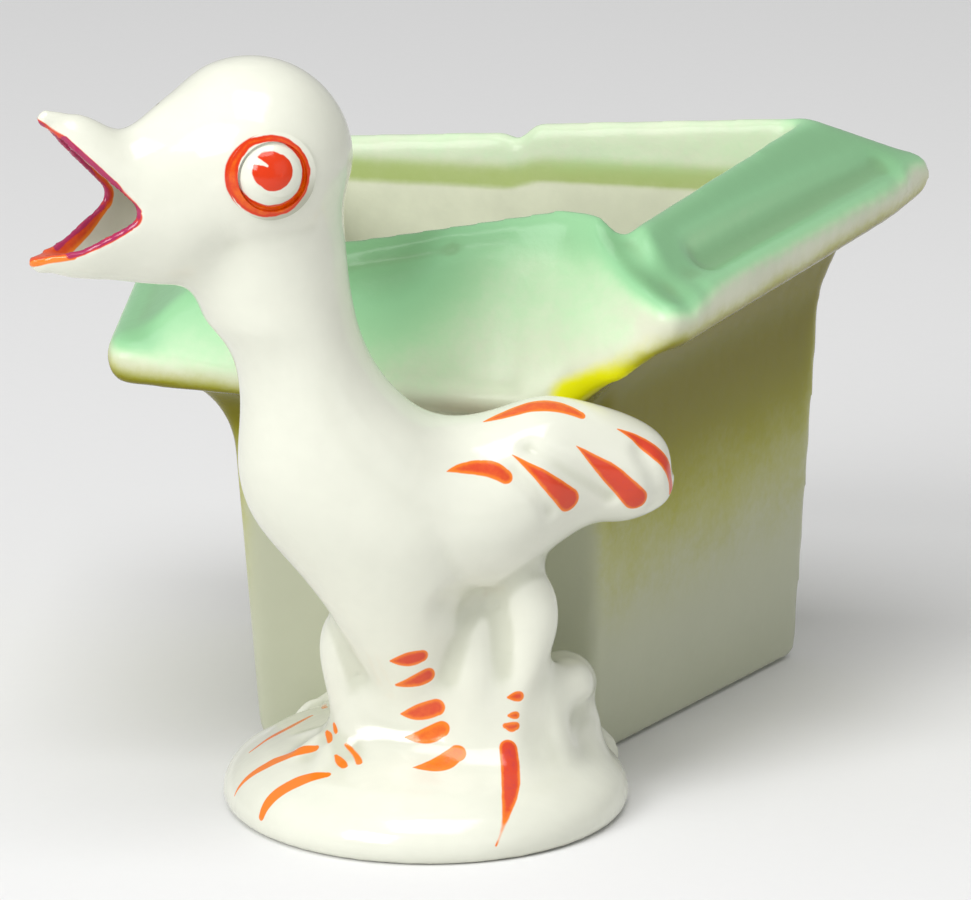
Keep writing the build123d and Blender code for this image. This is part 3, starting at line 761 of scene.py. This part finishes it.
def eye_glaze(name, roughness):
    """Glaze of eye, ring or pupil: white, greyer low down as painted shade, with the painted eye on
    it.
    """
    glaze = Glaze(name, roughness)
    white = clouded(glaze, colours().white, 0.95, 4.0)
    held = glaze.held(SKULL, HEAD_TURN)
    parts = glaze.add("ShaderNodeSeparateXYZ", {0: held}).outputs
    # painted shade on the lower side of each eye
    fall = glaze.math("SUBTRACT", glaze.math("MULTIPLY", parts[0], 0.5), parts[2])
    shade = glaze.rise(fall, 0.6, 3.6, 0.0, 0.55)
    white = glaze.mix(shade, white, opaque(EYE_PAINTED_SHADE))
    wander = glaze.wander(1.6, 2 * BRUSH_WANDER)
    head = glaze.vector("MULTIPLY", glaze.vector("ADD", held, wander), (-1.0, 0.0, 1.0))
    glaze.skin(1.5, 0.03)
    return glaze.coloured(glaze.painted_eye(white, head))


def floor_paper():
    """Matt pale paper with a trace of grain."""
    glaze = Glaze("floor_paper", 0.9)
    tint = bpy.context.scene.holder_studio.floor
    grain = glaze.noise(glaze.place, 1.5, 2.0).outputs["Fac"]
    low = tuple(share * 0.985 for share in tint)
    return glaze.coloured(glaze.mix(grain, opaque(low), opaque(tint)))


# ================================================================ pieces
def mirrored(path):
    """The same path on the pot's other side."""
    return [(-x, y, z) for x, y, z in path]


class HOLDER_OT_pot(bpy.types.Operator):
    """Builds the flared pot with its glazed lips"""

    bl_idname = "holder.pot"
    bl_label = "Pot"
    bl_options = {"REGISTER", "UNDO"}

    def execute(self, context):
        pot = clay_copy("glazed_pot", ["pot"])
        fuse(pot, FINE_GRAIN)
        points = places(pot)
        room = np.abs(np.array(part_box("pot")) / MM)[:, :2].min(axis=0) - np.abs(points[:, :2])
        roll = RIM_ROLL * ramp(points[:, 2], 40.0, 44.0) * ramp(room.min(axis=1), 0.6, 3.0)
        put_back(pot, points + normals(pot) * roll[:, None])
        fuse(pot, FINE_GRAIN)
        soften(pot, 0.7, EDGE_ROUNDS)
        fuse(pot, COARSE_GRAIN)
        share = 0.0
        for path, core in EVENED:
            away = distance_to(places(pot), path)
            share = np.maximum(share, 1.0 - ramp(away, core, 2.2 * core))
        even_out(pot, share, APRON_ROUNDS)
        far_lip = [(mirrored(path), width, depth) for path, width, depth in LIP_MARKS]
        press(pot, FOLD_MARKS + LIP_MARKS + CREST_MARKS + far_lip)
        fold = FOLD_MARKS[0][0]
        away = distance_to(places(pot), fold)
        even_out(pot, 1.0 - ramp(away, 3.0, 5.0), FOLD_ROUNDS)
        self.lower_rim(pot)
        soften(pot, 0.5, 4)
        keep_within(pot, "pot")
        self.spray(pot)
        finish_piece(pot, pot_glaze(), "pot_glaze", "pot")
        return {"FINISHED"}

    def lower_rim(self, pot):
        """The back rim is lower on one side of a small notch."""
        points = places(pot)
        x, y, z = points.T
        back = ramp(y, 19.0, 21.5) * ramp(z, 50.0, 56.0)
        left = ramp(-x, -0.6, 2.6)
        notch = np.exp(-((x + 1.4) / 1.3) ** 2)
        points[:, 2] -= back * (0.9 * left + 0.9 * notch)
        put_back(pot, points)

    def spray(self, pot):
        """Keeps how thick each sprayed colour is, with painted shade and light mixed into some, the
        painted shade of the walls, and where glaze gathers and is shaded.
        """
        points, facing = places(pot), normals(pot)
        x, y, z = points.T
        outward = facing[:, 0] * np.sign(x)
        back_inside = ramp(-facing[:, 1], 0.5, 0.9) * ramp(y, 15.0, 19.0)

        green = self.green(points, facing)
        green = np.maximum(green, 0.28 * back_inside * ramp(z, 52.5, 54.0))
        # painted shade: darker green in the valley beside the fold
        green = np.maximum(green, 1.15 * (1.0 - ramp(distance_to(points, SHADED_VALLEY), 0.8, 2.6)))
        keep_value(pot, "green_spray", blurred(pot, green * ramp(z, 38.0, 42.0), 14))
        keep_value(pot, "yellow_spray_and_shade", blurred(pot, 1.15 * self.yellow(points, facing), 22))
        # bright yellow along the fold, partly painted light, fading upwards
        lemon = 1.0 - ramp(distance_to(points, LEMON_LINE), 0.8, 3.0)
        lemon *= 1.0 - 0.7 * ramp(z, 43.5, 47.5)
        keep_value(pot, "lemon_spray_and_light", blurred(pot, lemon, 5))

        # band inside the rim: sprayed colour, and painted shade under the rim's overhang
        top = 55.8 - 1.0 * ramp(-x, -2.0, 3.0)
        band = ramp(z, top - 4.4, top - 3.4) * (1.0 - ramp(z, top - 2.4, top))
        inside = np.clip(back_inside + ramp(-outward, 0.5, 0.9), 0.0, 1.0)
        keep_value(pot, "inner_band_and_shade", band * inside)
        # painted shade on the outer walls, fading out below the lips
        wall = ramp(-facing[:, 1], 0.5, 0.9) * (1.0 - ramp(y, 10.0, 15.0))
        wall = np.maximum(wall, ramp(outward, 0.5, 0.9)) * (1.0 - ramp(z, 34.0, 44.0))
        keep_value(pot, "painted_wall_shade", blurred(pot, 0.85 * wall, 10))
        keep_value(pot, "pooling_and_shade", pooling_and_shade(pot))

    def green(self, points, facing):
        """Green on the tops of the lips and the upper part of the apron."""
        x, y, z = points.T
        out = np.abs(x)
        apron = ramp(-y, 20.0, 23.5) * (1.0 - ramp(out, 24.0, 27.5))
        top = ramp(facing[:, 2], 0.22, 0.72) * ramp(z, 40.0, 44.0)
        top *= 1.0 - 0.7 * ramp(y, 19.0, 22.0) * (1.0 - ramp(out, 26.0, 33.0))
        # green fading to the right and deeper on the apron's left: partly sprayed, partly the
        # chick's neck shadow painted in
        fade = 1.0 - 0.45 * ramp(x, -4.0, 14.0) * (1.0 - 0.6 * ramp(z, 54.0, 58.0))
        fade = np.maximum(fade, ramp(facing[:, 0], 0.05, 0.35))
        fade *= 1.3 - 0.3 * ramp(x, -2.0, 8.0)
        down = 0.28 + 0.72 * ramp(z, 40.0, 57.0)
        return np.where(apron > 0.5, ramp(facing[:, 2], 0.1, 0.42) * down * fade, top)

    def yellow(self, points, facing):
        """Yellow under the lips, thinning out down the side walls; where it is thickest, under the
        lips, it also stands for painted shade.
        """
        x, y, z = points.T
        outer = ramp(facing[:, 0] * np.sign(x), 0.25, 0.7) + ramp(-facing[:, 2], 0.05, 0.5)
        rear = ramp(y, 16.0, 24.0)
        outer = np.clip(outer, 0.0, 1.0)
        outer *= ramp(np.abs(x), 12.0 + 2.0 * rear, 17.0 + 23.0 * rear)
        yellow = outer * ramp(z, 4.0, 46.0) * (1.0 - ramp(facing[:, 2], -0.1, 0.25))
        return yellow * np.maximum(1.0 - ramp(z, 46.0, 50.0), ramp(-facing[:, 2], 0.2, 0.5))


class HOLDER_OT_figure(bpy.types.Operator):
    """Builds the chick, its legs and the mound as one glazed casting"""

    bl_idname = "holder.figure"
    bl_label = "Chick and mound"
    bl_options = {"REGISTER", "UNDO"}

    def execute(self, context):
        nodes = ["chick", "left_leg", "right_leg", "mound", "luting"]
        figure = clay_copy("glazed_chick", nodes)
        rolls = [piece for stops in CLAY_ROLLS for piece in clay_roll(stops)]
        rolls += [piece for stops in BILL_ROLLS for piece in clay_roll(stops, on_head)]
        figure = join("glazed_chick", [figure, *rolls])
        fuse(figure, FIGURE_GRAIN)
        self.swell(figure, FILLET)
        fuse(figure, FIGURE_GRAIN)
        self.swell(figure, -FILLET)
        even_out(figure, self.creases(figure), CREASE_ROUNDS)
        press(figure, [([on_chick(*place) for place in path], width, depth)
                       for path, width, depth in FIGURE_MARKS])
        soften(figure, 0.5, 8)
        keep_within(figure, *nodes)
        self.paint(figure)
        finish_piece(figure, figure_glaze(figure), "figure_glaze", *nodes)
        return {"FINISHED"}

    def swell(self, figure, amount):
        """Moves the skin out, or back in, below the head and above the foot."""
        points = places(figure)
        height = points[:, 2]
        share = ramp(height, 3.0, 7.0) * (1.0 - ramp(height, 48.0, 56.0))
        # fuller beside the pot, where the slip runs up to its wall
        rear = ramp(points[:, 1], -36.0, -31.0) * (1.0 - ramp(height, 18.0, 24.0))
        share *= 1.0 + 0.9 * rear
        put_back(figure, points + normals(figure) * (amount * share)[:, None])

    def creases(self, figure):
        """How much of each crease is evened out: back, skull, nape, bill, legs and stone."""
        points = places(figure)
        height = points[:, 2]
        along = (points - STAND) @ TAILWARD
        ahead = (points - SKULL) @ HEADWARD
        back = ramp(height, 31.0, 37.0) * (1.0 - ramp(height, 52.0, 58.0))
        back *= ramp(along, -16.0, -9.0) * (1.0 - ramp(along, 5.0, 9.0))
        skull = ramp(height, 54.0, 57.0) * (1.0 - ramp(height, 61.0, 65.0))
        skull *= 1.0 - ramp(ahead, BILL_START - 2.0, BILL_START)
        nape = (1.0 - ramp(ahead, -6.0, -3.5)) * (1.0 - ramp(height, 66.0, 71.0))
        skull = np.maximum(skull, nape * ramp(height, 54.0, 57.0))
        bill = ramp(ahead, 3.0, 6.0) * (1.0 - ramp(ahead, BILL_START, BILL_START + 1.5))
        legs = ramp(height, 5.0, 7.5) * (1.0 - ramp(height, 12.0, 16.0))
        legs *= ramp(along, -10.0, -8.5) * (1.0 - ramp(along, 9.0, 10.0))
        stone = ramp(along, 8.5, 10.0) * ramp(height, 3.0, 5.0) * (1.0 - ramp(height, 17.0, 20.0))
        head = np.maximum(skull, 0.35 * bill * ramp(height, 54.0, 57.0))
        return np.maximum(np.maximum(back, head), np.maximum(0.55 * legs, 0.2 * stone))

    def paint(self, figure):
        """Keeps where the inside of the mouth is, and where glaze gathers and painted shade darkens
        the hollows.
        """
        points, facing = places(figure), normals(figure)
        from_skull = points - SKULL
        ahead = from_skull @ HEADWARD
        corner_ahead, corner_rise = GAPE_CORNER
        reach = np.clip((ahead - corner_ahead) / 10.0, 0.0, 1.2)
        above = from_skull[:, 2] > corner_rise + 2.7 * reach
        inward = -np.sign(from_skull @ HEADSIDE) * (facing @ HEADSIDE)
        inward += np.where(above, -facing[:, 2], facing[:, 2])
        keep_value(figure, "mouth", ramp(inward, -0.15, 0.35) * ramp(ahead, 6.0, 9.0))
        keep_value(figure, "pooling_and_shade", pooling_and_shade(figure))


class HOLDER_OT_eyes(bpy.types.Operator):
    """Glazes the eyes and enamels their rings and pupils"""

    bl_idname = "holder.eyes"
    bl_label = "Eyes"
    bl_options = {"REGISTER", "UNDO"}

    def execute(self, context):
        finishes = {
            "eye": eye_glaze("eye_glaze", 0.12),
            "eye_ring": eye_glaze("ring_enamel", 0.2),
            "pupil": eye_glaze("pupil_enamel", 0.2),
        }
        for side in ("left", "right"):
            for part, material in finishes.items():
                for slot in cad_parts[f"{side}_{part}"].material_slots:
                    slot.material = material
        return {"FINISHED"}


class HOLDER_OT_studio(bpy.types.Operator):
    """Sets out the floor, the lamps and the camera"""

    bl_idname = "holder.studio"
    bl_label = "Studio"
    bl_options = {"REGISTER", "UNDO"}

    def execute(self, context):
        studio = context.scene.holder_studio
        bpy.ops.object.select_all(action="DESELECT")
        bpy.ops.mesh.primitive_plane_add(size=6)
        floor = context.object
        floor.name = "studio_floor"
        floor.data.materials.append(floor_paper())

        azimuth, lift = CAMERA_AZIMUTH, CAMERA_HEIGHT_ANGLE
        back = Vector((sin(azimuth) * cos(lift), -cos(azimuth) * cos(lift), sin(lift)))
        right = Vector((cos(azimuth), sin(azimuth), 0))
        up = back.cross(right)
        side = cos(CAMERA_ROLL) * right - sin(CAMERA_ROLL) * up
        top = sin(CAMERA_ROLL) * right + cos(CAMERA_ROLL) * up
        lens = bpy.data.cameras.new("camera")
        lens.lens = CAMERA_LENS
        lens.sensor_width = CAMERA_SENSOR
        lens.clip_end = 10
        camera = bpy.data.objects.new("camera", lens)
        context.collection.objects.link(camera)
        turned = Matrix((side, top, back)).transposed().to_4x4()
        turned.translation = (Vector(CAMERA_TARGET) + back * CAMERA_DISTANCE) * MM
        camera.matrix_world = turned
        context.scene.camera = camera

        for name, place, size, power in LAMPS:
            light = bpy.data.lights.new(name, "AREA")
            light.size = size
            light.energy = power * studio.lamps
            lamp = bpy.data.objects.new(name, light)
            context.collection.objects.link(lamp)
            lamp.location = place
            aim = Vector(LAMP_AIM) - Vector(place)
            lamp.rotation_euler = aim.to_track_quat("-Z", "Y").to_euler()
        world = bpy.data.worlds.new("studio")
        world.use_nodes = True
        world.node_tree.nodes["Background"].inputs["Strength"].default_value = studio.world
        world.node_tree.nodes["Background"].inputs["Color"].default_value = (1, 1, 1, 1)
        context.scene.world = world
        context.scene.view_settings.view_transform = "Standard"
        return {"FINISHED"}


class HOLDER_PT_panel(bpy.types.Panel):
    """Lists the pieces of the holder"""

    bl_idname = "HOLDER_PT_panel"
    bl_label = "Toothpick holder"
    bl_space_type = "VIEW_3D"
    bl_region_type = "UI"
    bl_category = "Holder"

    def draw(self, context):
        for step in STEPS:
            self.layout.operator(step.bl_idname)
        for settings in (context.scene.holder_colours, context.scene.holder_studio):
            for name in settings.__annotations__:
                self.layout.prop(settings, name)


STEPS = [HOLDER_OT_pot, HOLDER_OT_figure, HOLDER_OT_eyes, HOLDER_OT_studio]
CLASSES = [HolderColours, HolderStudio, *STEPS, HOLDER_PT_panel]


def register():
    for cls in CLASSES:
        bpy.utils.register_class(cls)
    bpy.types.Scene.holder_colours = bpy.props.PointerProperty(type=HolderColours)
    bpy.types.Scene.holder_studio = bpy.props.PointerProperty(type=HolderStudio)


def unregister():
    del bpy.types.Scene.holder_studio
    del bpy.types.Scene.holder_colours
    for cls in reversed(CLASSES):
        bpy.utils.unregister_class(cls)


def main():
    register()
    bpy.ops.holder.pot()
    bpy.ops.holder.figure()
    bpy.ops.holder.eyes()
    bpy.ops.holder.studio()


if __name__ == "__main__":
    main()
